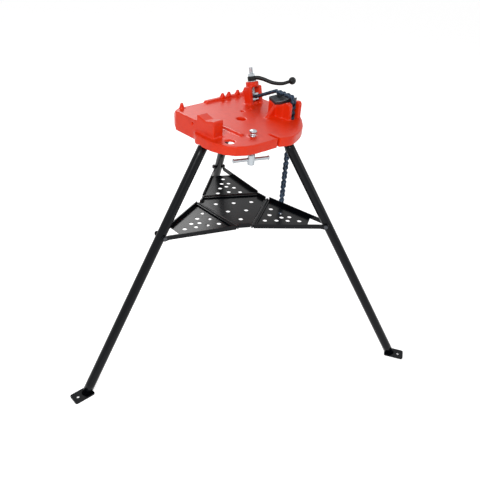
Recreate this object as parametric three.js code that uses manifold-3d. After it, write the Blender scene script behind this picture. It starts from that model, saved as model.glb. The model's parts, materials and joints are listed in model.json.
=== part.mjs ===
// Tripod chain-vise stand: a cast vise base on three folding tube legs, with a folding
// three-winged tool tray between the legs, a screw-tightened chain vise, a rear rest with a
// V notch, bending horns along the far edge and a ceiling brace screw.
// Millimetres, +Z up, +X from the rear rest to the chain vise. The pieces are drawn about the
// tripod's axis and moved at the end to the origin under the middle of the outline box.

import * as THREE from 'three';
import { mergeVertices } from 'three/addons/utils/BufferGeometryUtils.js';
import Module from 'manifold-3d';

const wasm = await Module();
wasm.setup();

// Fits
const FIT = 0.3;                  // gap between touching pieces
const RUN = 0.4;                  // side gap of a turning or sliding piece
const SINK = 2;                   // overlap of solids that are cast as one

// Tripod
const LEG_AZIMUTHS = { rear: 180, right: -60, left: 60 };
const LEG_LEAN = THREE.MathUtils.degToRad(32.4);
const DECK_Z = 860;
const HINGE_DROP = 25;            // hinge pins below the deck's top
const HINGE_Z = DECK_Z - HINGE_DROP;
const HINGE_R = 162.6;
const LEG_OD = 34;
const LEG_WALL = 3;
const TANG_THICK = 14;
const TANG_EYE_R = 12;
const TUBE_START = 18;            // along the leg, from the hinge pin to the tube's end
const PLUG_LENGTH = 40;
const PIN_R = 6;
const PIN_HEAD_R = 9;
const PIN_HEAD_T = 3;
const LUG_THICK = 10;
const LUG_R = 13;
const STOP_OUT = 5;               // radial depth of the leg stop between the lugs
const TOE_IN = 22;
const TOE_OUT = 52;
const TOE_WIDTH = 48;
const TOE_THICK = 6;
const TOE_HOLE_R = 6;
const TOE_HOLE_OUT = 32;

// Base casting
const DECK_THICK = 9;
const RIM_DEPTH = 34;
const RIM_BOTTOM = DECK_Z - RIM_DEPTH;
const RIM_THICK = 8;
const LEG_OPENING_GAP = 2.5;      // room round the tube where it leaves the rim
const LEG_OPENING_TOP = 13;       // where that room starts, along the leg from its pin
const SLIT_X = 22;
const SLIT_WIDTH = 9;
const SLIT_END_Y = -114;
const FRONT_Y = -162;
const FAR_Y = 262;
const LEFT_X = -166;
const RIGHT_X = 278;
const TOOL_HOLE = { x: -134, y: -88, r: 17 };
const SOCKET = { x: 43, y: 46, r: 17, wall: 6, depth: 22 };
const SMALL_HOLES = [{ x: 101, y: 102 }, { x: 147, y: 105 }];
const SMALL_HOLE_R = 7;
const RIB = { x: -66, near: -78, far: 120, width: 14, height: 7 };
const END_WALL = { thick: 12, near: -44, far: 160, top: DECK_Z + 37 };
const END_WALL_HOLE = { y: 64, z: DECK_Z + 20, r: 5 };
const REST_DEPTH = 42;
const REST_TOP = DECK_Z + 59;
const REST_NOTCH = 11;
const REST_VERTEX = REST_TOP - REST_NOTCH;
const RAIL = { start: 42, end: 262, width: 22, height: 9 };
const HORN_XS = [129, 162, 209, 250];
const HORN_Y = 246;
const HORN_R = 10.5;
const HORN_HEIGHT = 18;
const CORNER_HORN = { x: -70, y: 247, height: 24 };

// Chain vise
const VISE_X = 205;
const JAW_LENGTH = 80;
const JAW_HALF = 33;
const JAW_VERTEX = DECK_Z + 53;
const JAW_SLOPE = THREE.MathUtils.degToRad(20);
const JAW_THICK = 10;
const JAW_GAP = 0.6;
const SEAT_HALF = 35;
const JAW_SCREW_SPAN = 46;
const JAW_SCREW_OUT = 18;
const JAW_SCREW = { r: 3, headR: 5.2, headT: 4, length: 15 };
const SLOT_HALF = 16;             // half the gap between the prongs of each fork
const PRONG_THICK = 18;
const NEAR_FORK_OUT = 66;
const NEAR_FORK_TOP = JAW_VERTEX + 7;
const GUSSET_RUN = 48;
const GUSSET_HALF = 6;
const SCREW_TILT = THREE.MathUtils.degToRad(14);
const SCREW_FOOT_Y = 146.3;       // where the screw's axis meets the deck's top
const SCREW_R = 8;
const JOURNAL_R = 5;
const JOURNAL_LENGTH = 7;
const JOURNAL_START = 2.5;        // lower end of the screw above the deck
const FOOT_BOSS = { r: 14, top: 7, down: 13 };
const FAR_PRONG_HALF = 17;
const FORK_CLEAR = 60;            // half the space kept clear under the far fork
const COLLAR = { r: 25, bottom: 62, top: 81.5 };
const WASHER = { r: 16, thick: 2 };
const HUB = { r: 16, height: 16 };
const TOP_NUT = { r: 13, height: 9 };
const STUB = 24;                  // screw left standing above the top nut
const ARM_ANGLE = THREE.MathUtils.degToRad(56.8);
const ARM_PATH = [[0, 0], [22, 1], [45, -6], [80, -22], [115, -28], [140, -24]];
const ARM_R = 6.5;
const BALL_OUT = 155;
const BALL_DROP = -21;
const BALL_R = 14;
const BALL_SOCKET = 9;
const NUT = { centre: 26, half: 12, depth: 13 };
const NUT_EAR = { half: 5.4, out: 21.5, r: 6.5 };

// Chain
const PITCH = 20;
const LINK_R = 7.5;
const INNER_HALF = 6.2;
const PLATE_IN = 5.8;
const PLATE_OUT = 9.8;
const CHAIN_PIN_R = 3;
const CHAIN_PIN_HALF = 13;
const CHAIN_RIDE = 10.5;          // chain centreline above the jaw tips
const CHAIN_DROP_Y = -50;
const RUN_LINKS = 15;
const TAIL_LINKS = 18;

// Tray
const TRAY_Z = 525;
const TRAY_SHEET = 2.5;
const TRAY_RIM = 17;
const TRAY_LOW_RIM = 8;
const FLANGE = 4;
const ROD_R = 3.5;
const ROD_RADIUS = 96;            // from the tripod's axis to each hinge rod
const ROD_HALF = 116;
const ROD_Z = TRAY_Z + 5;
const KNUCKLE_R = 6.5;
const KNUCKLE_SPLIT = 36;
const KNUCKLE_END = ROD_HALF - 8;
const CENTRE_IN = ROD_RADIUS - KNUCKLE_R - RUN;
const CORNER_R = 140;
const WING_IN = ROD_RADIUS + KNUCKLE_R + RUN;
const WING_HALF = 113;
const CROTCH_R = 282;
const PIVOT_Z = TRAY_Z + 13;
const CHEEK_GAP = 1;
const CHEEK_RUN = 20;
const CHEEK_END_R = 10.5;
const HOLE_R = 8;
const CENTRE_HOLES = { corner: 82, middle: 41 };
// Each hole's share of the way along the wing's floor, and its distance from the middle line.
const WING_HOLES = [[0.81, 0], [0.58, 14.5], [0.58, -14.5], [0.43, 0], [0.36, 29], [0.36, -29],
  [0.135, 46], [0.135, -46], [0.17, 0]];
const BOLT = { r: 4, headR: 7.5, headT: 5 };

// Ceiling brace screw
const BRACE = { x: -37, y: -96 };
const BRACE_R = 10;
const BRACE_BOSS = { r: 19, bottom: RIM_BOTTOM + 6, above: 1.5 };
const BRACE_TOP = DECK_Z + 12;
const BRACE_TIP_R = 5;
const BRACE_TIP = 4;
const CAP = { r: 13, height: 10 };
const BRACE_HUB = { r: 13, top: RIM_BOTTOM - 32, bottom: RIM_BOTTOM - 69 };
const BAR = { r: 6, length: 134, endR: 7.6, endT: 4, azimuth: -22 };

// Finishes
const RED = { color: 0xe3331a, roughness: 0.35, metalness: 0.0 };
const BLACK = { color: 0x17181a, roughness: 0.4, metalness: 0.2 };
const FORGED = { color: 0x1c1c1e, roughness: 0.5, metalness: 0.4 };
const STEEL = { color: 0x3b3d40, roughness: 0.45, metalness: 0.9 };
const ZINC = { color: 0xb9bfc4, roughness: 0.28, metalness: 0.95 };
const CHAIN_STEEL = { color: 0x3a4654, roughness: 0.4, metalness: 0.85 };

const X = new THREE.Vector3(1, 0, 0);
const Y = new THREE.Vector3(0, 1, 0);
const Z = new THREE.Vector3(0, 0, 1);

// Solids and booleans

function solid(geometry) {
  const bare = geometry.clone();
  bare.deleteAttribute('normal');
  bare.deleteAttribute('uv');
  const merged = mergeVertices(bare, 1e-4);
  return new wasm.Manifold(new wasm.Mesh({
    numProp: 3,
    vertProperties: Float32Array.from(merged.attributes.position.array),
    triVerts: Uint32Array.from(merged.index.array),
  }));
}

function join(...solids) {
  return solids.flat().reduce((sum, next) => sum.add(next));
}

function cut(body, ...tools) {
  return tools.flat().reduce((left, tool) => left.subtract(tool), body);
}

function geometryOf(body) {
  const mesh = body.getMesh();
  const geometry = new THREE.BufferGeometry();
  geometry.setAttribute('position', new THREE.BufferAttribute(mesh.vertProperties, 3));
  geometry.setIndex(new THREE.BufferAttribute(mesh.triVerts, 1));
  geometry.computeVertexNormals();
  return geometry;
}

// A box between two corners.
function box(x0, x1, y0, y1, z0, z1) {
  const geometry = new THREE.BoxGeometry(x1 - x0, y1 - y0, z1 - z0);
  return solid(geometry.translate((x0 + x1) / 2, (y0 + y1) / 2, (z0 + z1) / 2));
}

// A solid of revolution about the line from origin along axis; profile is [radius, distance].
function turned(profile, origin, axis, sides = 16) {
  const points = profile.map(([r, d]) => new THREE.Vector2(r, d));
  const geometry = new THREE.LatheGeometry(points, sides);
  geometry.applyQuaternion(new THREE.Quaternion().setFromUnitVectors(Y, axis));
  return solid(geometry.translate(origin.x, origin.y, origin.z));
}

// A round bar from distance d0 to d1 along an axis.
function bar(r, d0, d1, origin, axis, sides = 16) {
  return turned([[0, d0], [r, d0], [r, d1], [0, d1]], origin, axis, sides);
}

// An outline in the plane of two directions, extruded from d0 to d1 along their cross product.
function prism(shape, u, v, d0, d1, origin = new THREE.Vector3(), curveSegments = 4) {
  const w = new THREE.Vector3().crossVectors(u, v);
  const options = { depth: d1 - d0, bevelEnabled: false, curveSegments };
  const geometry = new THREE.ExtrudeGeometry(shape, options).translate(0, 0, d0);
  const place = new THREE.Matrix4().makeBasis(u, v, w).setPosition(origin);
  return solid(geometry.applyMatrix4(place));
}

function polygon(points) {
  return new THREE.Shape(points.map(([a, b]) => new THREE.Vector2(a, b)));
}

// A closed outline whose corners [x, y, radius] are rounded.
function rounded(corners) {
  const shape = new THREE.Shape();
  corners.forEach(([x, y, radius], i) => {
    const here = new THREE.Vector2(x, y);
    const before = corners[(i + corners.length - 1) % corners.length];
    const after = corners[(i + 1) % corners.length];
    const back = new THREE.Vector2(before[0], before[1]).sub(here);
    const ahead = new THREE.Vector2(after[0], after[1]).sub(here);
    const start = here.clone().addScaledVector(back.normalize(), radius);
    const end = here.clone().addScaledVector(ahead.normalize(), radius);
    if (i === 0) shape.moveTo(start.x, start.y);
    else shape.lineTo(start.x, start.y);
    shape.quadraticCurveTo(x, y, end.x, end.y);
  });
  shape.closePath();
  return shape;
}

// The same corners drawn in by a wall's thickness, for an outline that runs anticlockwise.
function drawnIn(corners, wall) {
  return corners.map(([x, y, radius], i) => {
    const before = corners[(i + corners.length - 1) % corners.length];
    const after = corners[(i + 1) % corners.length];
    const a = new THREE.Vector2(x - before[0], y - before[1]).normalize();
    const b = new THREE.Vector2(after[0] - x, after[1] - y).normalize();
    const normal = new THREE.Vector2(-a.y - b.y, a.x + b.x).normalize();
    const miter = normal.x * -a.y + normal.y * a.x;
    const turn = a.cross(b) > 0 ? -wall : wall;
    return [x + normal.x * wall / miter, y + normal.y * wall / miter, Math.max(1, radius + turn)];
  });
}

function hole(shape, x, y, r) {
  const path = new THREE.Path();
  path.absarc(x, y, r, 0, 2 * Math.PI, true);
  shape.holes.push(path);
}

const part = new THREE.Group();

function place(name, body, finish, azimuth = 0) {
  const material = new THREE.MeshStandardMaterial(finish);
  const mesh = new THREE.Mesh(geometryOf(body), material);
  mesh.name = name;
  mesh.rotation.z = THREE.MathUtils.degToRad(azimuth);
  part.add(mesh);
}

// Legs, drawn in the radial plane of azimuth 0: X outwards, Y along the hinge pin

const hinge = new THREE.Vector3(HINGE_R, 0, HINGE_Z);
const downLeg = new THREE.Vector3(Math.sin(LEG_LEAN), 0, -Math.cos(LEG_LEAN));
const acrossLeg = new THREE.Vector3(Math.cos(LEG_LEAN), 0, Math.sin(LEG_LEAN));
const legLength = HINGE_Z / Math.cos(LEG_LEAN);
const footR = HINGE_R + HINGE_Z * Math.tan(LEG_LEAN);
const plugR = LEG_OD / 2 - LEG_WALL - FIT;
const lugIn = TANG_THICK / 2 + RUN;
const lugOut = lugIn + LUG_THICK;

function legTube() {
  const r = LEG_OD / 2;
  const bore = r - LEG_WALL;
  const end = legLength + r;
  const ring = [[bore, TUBE_START], [r, TUBE_START], [r, end], [bore, end], [bore, TUBE_START]];
  const tube = turned(ring, hinge, downLeg, 24);
  const under = box(0, 2 * footR, -LEG_OD, LEG_OD, -LEG_OD, TOE_THICK + FIT);
  return cut(tube, under);
}

function legTang() {
  const half = TANG_THICK / 2;
  const eye = bar(TANG_EYE_R, -half, half, hinge, Y);
  const flat = prism(polygon([[-TANG_EYE_R, 0], [TANG_EYE_R, 0], [TANG_EYE_R, TUBE_START - FIT],
    [-TANG_EYE_R, TUBE_START - FIT]]), acrossLeg, downLeg, -half, half, hinge);
  const plugTop = TUBE_START - SINK;
  const plug = bar(plugR, plugTop, plugTop + PLUG_LENGTH, hinge, downLeg);
  return cut(join(eye, flat, plug), bar(PIN_R + FIT, -LEG_OD, LEG_OD, hinge, Y));
}

function legPin() {
  const flush = lugOut + FIT;
  const profile = [[0, -flush - PIN_HEAD_T], [PIN_HEAD_R, -flush - PIN_HEAD_T], [PIN_HEAD_R, -flush],
    [PIN_R, -flush], [PIN_R, flush], [PIN_R - 1, flush + 1], [0, flush + 1]];
  return turned(profile, hinge, Y);
}

function foot() {
  const shape = rounded([[footR - TOE_IN, -TOE_WIDTH / 2, 6], [footR + TOE_OUT, -TOE_WIDTH / 2, 8],
    [footR + TOE_OUT, TOE_WIDTH / 2, 8], [footR - TOE_IN, TOE_WIDTH / 2, 6]]);
  hole(shape, footR + TOE_HOLE_OUT, 0, TOE_HOLE_R);
  const toe = prism(shape, X, Y, 0, TOE_THICK);
  const plug = bar(plugR, legLength - PLUG_LENGTH, legLength + LEG_OD / 2, hinge, downLeg);
  return join(toe, cut(plug, box(0, 2 * footR, -LEG_OD, LEG_OD, -LEG_OD, TOE_THICK / 2)));
}

for (const [side, azimuth] of Object.entries(LEG_AZIMUTHS)) {
  place(`leg_${side}`, legTube(), BLACK, azimuth);
  place(`leg_tang_${side}`, legTang(), FORGED, azimuth);
  place(`leg_pin_${side}`, legPin(), STEEL, azimuth);
  place(`foot_${side}`, foot(), BLACK, azimuth);
}

// Base casting

const deckBottom = DECK_Z - DECK_THICK;
const deckCorners = [
  [LEFT_X + 2, FRONT_Y + 8, 92],
  [SLIT_X - SLIT_WIDTH / 2, FRONT_Y, 3],
  [SLIT_X - SLIT_WIDTH / 2, SLIT_END_Y, 3],
  [SLIT_X + SLIT_WIDTH / 2, SLIT_END_Y, 3],
  [SLIT_X + SLIT_WIDTH / 2, FRONT_Y, 3],
  [72, FRONT_Y - 18, 26],
  [168, FRONT_Y + 18, 50],
  [246, FRONT_Y + 98, 34],
  [RIGHT_X - 8, 10, 36],
  [RIGHT_X, FAR_Y, 40],
  [-94, FAR_Y, 40],
  [LEFT_X, 165, 45],
  [LEFT_X, 48, 14],
  [LEFT_X - 22, 28, 14],
  [LEFT_X - 22, -50, 14],
];

// The space a leg's top swings in, wide enough for the pin's head, and the tube's way out of the rim.
function legOpening(azimuth) {
  const half = lugOut + PIN_HEAD_T + 2;
  const inside = box(HINGE_R - LEG_OD, HINGE_R + LUG_R + 1, -half, half, 0, deckBottom);
  const wayOut = bar(LEG_OD / 2 + LEG_OPENING_GAP, LEG_OPENING_TOP, 3 * LEG_OD, hinge, downLeg, 24);
  return join(inside, wayOut).rotate([0, 0, azimuth]);
}

// Two lugs that carry a leg's pin, with the stop between them that the open leg rests on.
function legLugs(azimuth) {
  const lug = new THREE.Shape();
  lug.moveTo(HINGE_R - LUG_R, DECK_Z - SINK);
  lug.lineTo(HINGE_R - LUG_R, HINGE_Z);
  lug.absarc(HINGE_R, HINGE_Z, LUG_R, Math.PI, 2 * Math.PI, false);
  lug.lineTo(HINGE_R + LUG_R, DECK_Z - SINK);
  hole(lug, HINGE_R, HINGE_Z, PIN_R + FIT);
  const faceAt = (z) => HINGE_R + (HINGE_Z - z) * Math.tan(LEG_LEAN)
    + (TANG_EYE_R + FIT) / Math.cos(LEG_LEAN);
  const low = HINGE_Z - TANG_EYE_R / 2;
  const top = DECK_Z - SINK;
  const stopEnd = faceAt(low) + STOP_OUT;
  const stop = polygon([[faceAt(top), top], [faceAt(low), low], [stopEnd, low], [stopEnd, top]]);
  const brace = polygon([[HINGE_R, top], [HINGE_R + LUG_R - SINK, low], [stopEnd, low], [stopEnd, top]]);
  const pieces = [
    prism(lug, X, Z, lugIn, lugOut),
    prism(lug, X, Z, -lugOut, -lugIn),
    prism(brace, X, Z, lugIn, lugOut),
    prism(brace, X, Z, -lugOut, -lugIn),
    prism(stop, X, Z, -lugIn - SINK, lugIn + SINK),
  ];
  const whole = cut(join(pieces), bar(PIN_R + FIT, -LEG_OD, LEG_OD, hinge, Y));
  return whole.rotate([0, 0, azimuth]);
}

function horn(x, y, z, height) {
  const tip = HORN_R * 0.45;
  const profile = [[0, -SINK], [HORN_R, -SINK], [HORN_R, 1], [HORN_R * 0.72, height * 0.6],
    [tip, height - 1.5], [0, height]];
  return turned(profile, new THREE.Vector3(x, y, z), Z, 14);
}

// The rear wall, with the block that carries the V-shaped rest.
function rearRest() {
  const wall = box(LEFT_X, LEFT_X + END_WALL.thick, END_WALL.near, END_WALL.far,
    RIM_BOTTOM + SINK, END_WALL.top);
  const wallHole = bar(END_WALL_HOLE.r, -END_WALL.thick, 2 * END_WALL.thick,
    new THREE.Vector3(LEFT_X, END_WALL_HOLE.y, END_WALL_HOLE.z), X, 14);
  const half = -END_WALL.near;
  const block = prism(polygon([[-half, DECK_Z - SINK], [half, DECK_Z - SINK], [half, REST_TOP],
    [0, REST_VERTEX], [-half, REST_TOP]]), Y, Z, LEFT_X, LEFT_X + REST_DEPTH);
  return join(cut(wall, wallHole), block);
}

// The vise's screw axis: distances along it are counted from the deck's top.
const screwFoot = new THREE.Vector3(VISE_X, SCREW_FOOT_Y, DECK_Z);
const screwAxis = new THREE.Vector3(0, Math.sin(SCREW_TILT), Math.cos(SCREW_TILT));
const screwIn = new THREE.Vector3(0, -Math.cos(SCREW_TILT), Math.sin(SCREW_TILT));

function alongScrew(distance, inwards = 0, across = 0) {
  return screwFoot.clone().addScaledVector(screwAxis, distance)
    .addScaledVector(screwIn, inwards).addScaledVector(X, across);
}

const seatVertex = JAW_VERTEX - (JAW_THICK + FIT) / Math.cos(JAW_SLOPE);
const seatAt = (y) => seatVertex + Math.abs(y) * Math.tan(JAW_SLOPE);

function viseSeat() {
  const base = DECK_Z - SINK;
  const seat = prism(polygon([[-SEAT_HALF, base], [SEAT_HALF, base], [SEAT_HALF, seatAt(SEAT_HALF)],
    [0, seatAt(0)], [-SEAT_HALF, seatAt(SEAT_HALF)]]), Y, Z,
  VISE_X - JAW_LENGTH / 2, VISE_X + JAW_LENGTH / 2);
  const left = VISE_X - JAW_LENGTH / 2;
  const gusset = prism(polygon([[left - GUSSET_RUN, base], [left + SINK, base], [left + SINK, seatAt(0)],
    [left - SINK, seatAt(0)]]), X, Z, -GUSSET_HALF, GUSSET_HALF);
  const screwHoles = jawScrewPlaces().map(({ origin, axis }) =>
    bar(JAW_SCREW.r + FIT, -JAW_SCREW.length - 1, 0, origin, axis, 12));
  return cut(join(seat, gusset), screwHoles);
}

// Each jaw screw's origin lies on its jaw's biting face, and its axis points out of that face.
function jawScrewPlaces() {
  const places = [];
  for (const side of [1, -1]) {
    for (const end of [-1, 1]) {
      const y = side * JAW_SCREW_OUT;
      const z = JAW_VERTEX + JAW_SCREW_OUT * Math.tan(JAW_SLOPE);
      places.push({
        side,
        origin: new THREE.Vector3(VISE_X + end * JAW_SCREW_SPAN / 2, y, z),
        axis: new THREE.Vector3(0, -side * Math.sin(JAW_SLOPE), Math.cos(JAW_SLOPE)),
      });
    }
  }
  return places;
}

// The near fork's two prongs, between which the chain drops through the deck.
function nearFork() {
  const inner = SEAT_HALF - SINK;
  const profile = polygon([[-inner, DECK_Z - SINK], [-inner, seatAt(SEAT_HALF)],
    [-inner - 12, NEAR_FORK_TOP - 1], [-NEAR_FORK_OUT + 8, NEAR_FORK_TOP],
    [-NEAR_FORK_OUT, NEAR_FORK_TOP - 9], [-NEAR_FORK_OUT, DECK_Z - SINK]]);
  return [1, -1].map((side) => {
    const edges = [VISE_X + side * SLOT_HALF, VISE_X + side * (SLOT_HALF + PRONG_THICK)];
    return prism(profile, Y, Z, Math.min(...edges), Math.max(...edges));
  });
}

// The far fork, leaning out with the screw, tied at its top by the collar under the crank.
function farFork() {
  const sink = -FOOT_BOSS.down;
  const prongs = [1, -1].map((side) => {
    const middle = side * (SLOT_HALF + PRONG_THICK / 2);
    const half = PRONG_THICK / 2;
    const shape = polygon([[middle - half, -FAR_PRONG_HALF], [middle + half, -FAR_PRONG_HALF],
      [middle + half, FAR_PRONG_HALF], [middle - half, FAR_PRONG_HALF]]);
    return prism(shape, X, screwIn, -COLLAR.bottom - SINK, -sink, screwFoot);
  });
  const collar = bar(COLLAR.r, COLLAR.bottom, COLLAR.top, screwFoot, screwAxis, 28);
  const boss = bar(FOOT_BOSS.r, sink, FOOT_BOSS.top, screwFoot, screwAxis);
  const below = box(VISE_X - FORK_CLEAR, VISE_X + FORK_CLEAR, SCREW_FOOT_Y - FORK_CLEAR,
    SCREW_FOOT_Y + FORK_CLEAR, RIM_BOTTOM, deckBottom + 1);
  return cut(join(prongs, collar, boss), below,
    bar(SCREW_R + RUN, COLLAR.bottom - 1, COLLAR.top + 1, screwFoot, screwAxis),
    bar(JOURNAL_R + RUN, -1, FOOT_BOSS.top + 1, screwFoot, screwAxis));
}

function baseCasting() {
  const full = prism(rounded(deckCorners), X, Y, RIM_BOTTOM, DECK_Z);
  const under = prism(rounded(drawnIn(deckCorners, RIM_THICK)), X, Y, RIM_BOTTOM - 1, deckBottom);
  const azimuths = Object.values(LEG_AZIMUTHS);
  const skirt = cut(join(cut(full, under), rearRest()), azimuths.map(legOpening));
  const rail = prism(rounded([[RAIL.start, FAR_Y - RAIL.width, 8], [RAIL.end, FAR_Y - RAIL.width, 8],
    [RAIL.end, FAR_Y - 3, 8], [RAIL.start, FAR_Y - 3, 8]]), X, Y, DECK_Z - SINK, DECK_Z + RAIL.height);
  const rib = prism(rounded([[RIB.x - RIB.width / 2, RIB.near, 6], [RIB.x + RIB.width / 2, RIB.near, 6],
    [RIB.x + RIB.width / 2, RIB.far, 6], [RIB.x - RIB.width / 2, RIB.far, 6]]),
  X, Y, DECK_Z - SINK, DECK_Z + RIB.height);
  const braceAt = new THREE.Vector3(BRACE.x, BRACE.y, 0);
  const boss = bar(BRACE_BOSS.r, BRACE_BOSS.bottom, DECK_Z + BRACE_BOSS.above, braceAt, Z, 24);
  const socketAt = new THREE.Vector3(SOCKET.x, SOCKET.y, 0);
  const socketLow = DECK_Z - SOCKET.depth;
  const socket = bar(SOCKET.r + SOCKET.wall, socketLow - SOCKET.wall, deckBottom + 1, socketAt, Z, 24);
  const cast = join(skirt, rail, rib, boss, socket, viseSeat(), nearFork(), farFork(),
    HORN_XS.map((x) => horn(x, HORN_Y, DECK_Z + RAIL.height, HORN_HEIGHT)),
    horn(CORNER_HORN.x, CORNER_HORN.y, DECK_Z, CORNER_HORN.height),
    azimuths.map(legLugs));
  const below = deckBottom - 1;
  const above = DECK_Z + 1;
  const drill = ({ x, y }, r) => bar(r, below, above, new THREE.Vector3(x, y, 0), Z, 20);
  return cut(cast, drill(TOOL_HOLE, TOOL_HOLE.r), bar(SOCKET.r, socketLow, above, socketAt, Z, 20),
    SMALL_HOLES.map((at) => drill(at, SMALL_HOLE_R)),
    bar(BRACE_R + RUN, RIM_BOTTOM, above + BRACE_BOSS.above, braceAt, Z, 20),
    box(VISE_X - SLOT_HALF, VISE_X + SLOT_HALF, -NEAR_FORK_OUT, -SEAT_HALF, below, above));
}

place('base_casting', baseCasting(), RED);

// Jaws and their screws

function jaw(side) {
  const edge = (y, drop) => JAW_VERTEX + y * Math.tan(JAW_SLOPE) - drop / Math.cos(JAW_SLOPE);
  const inner = JAW_GAP / 2;
  const points = [[inner, edge(inner, JAW_THICK)], [JAW_HALF, edge(JAW_HALF, JAW_THICK)],
    [JAW_HALF, edge(JAW_HALF, 0)], [inner, edge(inner, 0)]];
  const shape = polygon(points.map(([y, z]) => [side * y, z]));
  const plate = prism(shape, Y, Z, VISE_X - JAW_LENGTH / 2, VISE_X + JAW_LENGTH / 2);
  const holes = jawScrewPlaces().filter((at) => at.side === side).flatMap(({ origin, axis }) => [
    bar(JAW_SCREW.r + FIT, -JAW_THICK - 1, 1, origin, axis, 12),
    bar(JAW_SCREW.headR + FIT, -JAW_SCREW.headT - 1 - FIT, 5, origin, axis, 16),
  ]);
  return cut(plate, holes);
}

place('jaw_far', jaw(1), STEEL);
place('jaw_near', jaw(-1), STEEL);
jawScrewPlaces().forEach(({ origin, axis }, i) => {
  const seat = -JAW_SCREW.headT - 1;
  const profile = [[0, -JAW_SCREW.length], [JAW_SCREW.r, -JAW_SCREW.length], [JAW_SCREW.r, seat],
    [JAW_SCREW.headR, seat], [JAW_SCREW.headR, -1], [0, -1]];
  place(`jaw_screw_${i + 1}`, turned(profile, origin, axis, 12), STEEL);
});

// Chain screw, crank and travelling nut

const washerAt = COLLAR.top + FIT;
const hubAt = washerAt + WASHER.thick + FIT;
const nutAt = hubAt + HUB.height + FIT;
const screwEnd = nutAt + TOP_NUT.height + STUB;

function chainScrew() {
  const step = JOURNAL_START + JOURNAL_LENGTH;
  const profile = [[0, JOURNAL_START], [JOURNAL_R, JOURNAL_START], [JOURNAL_R, step], [SCREW_R, step],
    [SCREW_R, screwEnd - 2], [SCREW_R - 2, screwEnd], [0, screwEnd]];
  return turned(profile, screwFoot, screwAxis);
}

// A washer or nut round the screw.
function ring(outer, d0, d1, sides) {
  const blank = bar(outer, d0, d1, screwFoot, screwAxis, sides);
  return cut(blank, bar(SCREW_R + FIT, d0 - 1, d1 + 1, screwFoot, screwAxis));
}

const armDirection = X.clone().multiplyScalar(Math.cos(ARM_ANGLE))
  .addScaledVector(screwIn, Math.sin(ARM_ANGLE));
const hubMiddle = alongScrew(hubAt + HUB.height / 2);

function onArm(out, rise) {
  return hubMiddle.clone().addScaledVector(armDirection, out).addScaledVector(screwAxis, rise);
}

const ballCentre = onArm(BALL_OUT, BALL_DROP);

function crankHandle() {
  const hub = bar(HUB.r, hubAt, hubAt + HUB.height, screwFoot, screwAxis, 24);
  const points = [...ARM_PATH.map(([out, rise]) => onArm(out, rise)), ballCentre];
  const path = new THREE.CatmullRomCurve3(points);
  const section = new THREE.Shape();
  section.absellipse(0, 0, ARM_R, ARM_R * 0.85, 0, 2 * Math.PI);
  const options = { steps: 12, curveSegments: 5, extrudePath: path, bevelEnabled: false };
  const arm = solid(new THREE.ExtrudeGeometry(section, options));
  const boreTool = bar(SCREW_R + FIT, hubAt - 1, hubAt + HUB.height + 1, screwFoot, screwAxis);
  const clear = solid(new THREE.SphereGeometry(BALL_SOCKET, 14, 9)
    .translate(ballCentre.x, ballCentre.y, ballCentre.z));
  return cut(join(hub, arm), boreTool, clear);
}

// The ball's core, left solid inside the arm's end socket, is one piece with the ball.
function crankBall() {
  const at = (r) => solid(new THREE.SphereGeometry(r, 14, 9)
    .translate(ballCentre.x, ballCentre.y, ballCentre.z));
  const back = ballCentre.clone().sub(onArm(ARM_PATH.at(-1)[0], ARM_PATH.at(-1)[1])).normalize();
  const socket = bar(ARM_R + 2 * FIT, -BALL_R - 2, 0, ballCentre, back, 16);
  return join(cut(at(BALL_R), socket), at(BALL_SOCKET - FIT));
}

place('chain_screw', chainScrew(), ZINC);
place('thrust_washer', ring(WASHER.r, washerAt, washerAt + WASHER.thick, 20), ZINC);
place('crank_handle', crankHandle(), FORGED);
place('crank_ball', crankBall(), FORGED);
place('crank_nut', ring(TOP_NUT.r, nutAt, nutAt + TOP_NUT.height, 6), ZINC);

const earPin = alongScrew(NUT.centre, NUT_EAR.out);

function travellingNut() {
  const half = SLOT_HALF - RUN;
  const shape = polygon([[-half, -NUT.depth], [half, -NUT.depth], [half, NUT.depth], [-half, NUT.depth]]);
  const block = prism(shape, X, screwIn, -NUT.centre - NUT.half, -NUT.centre + NUT.half, screwFoot);
  const ear = bar(NUT_EAR.r, -NUT_EAR.half, NUT_EAR.half, earPin, X);
  const neck = prism(polygon([[-NUT_EAR.half, 0], [NUT_EAR.half, 0], [NUT_EAR.half, NUT_EAR.out],
    [-NUT_EAR.half, NUT_EAR.out]]), X, screwIn, -NUT.centre - NUT_EAR.r, -NUT.centre + NUT_EAR.r, screwFoot);
  const bore = bar(SCREW_R + RUN, 0, COLLAR.top, screwFoot, screwAxis);
  return cut(join(block, neck, ear), bore, bar(CHAIN_PIN_R + FIT, -SLOT_HALF, SLOT_HALF, earPin, X, 12));
}

place('travelling_nut', travellingNut(), ZINC);
place('chain_nut_pin', bar(CHAIN_PIN_R, -CHAIN_PIN_HALF, CHAIN_PIN_HALF, earPin, X, 12), STEEL);

// Chain: pins stand one pitch apart along the route over the jaws and down through the slot

const jawTip = JAW_VERTEX + JAW_HALF * Math.tan(JAW_SLOPE) + CHAIN_RIDE;
const route = [
  [earPin.y, earPin.z],
  [JAW_HALF + 9, jawTip - 1.5],
  [JAW_HALF, jawTip],
  [-JAW_HALF, jawTip],
  [CHAIN_DROP_Y + 6, jawTip - 4],
  [CHAIN_DROP_Y, jawTip - 14],
  [CHAIN_DROP_Y, 0],
].map(([y, z]) => new THREE.Vector3(VISE_X, y, z));

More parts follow.
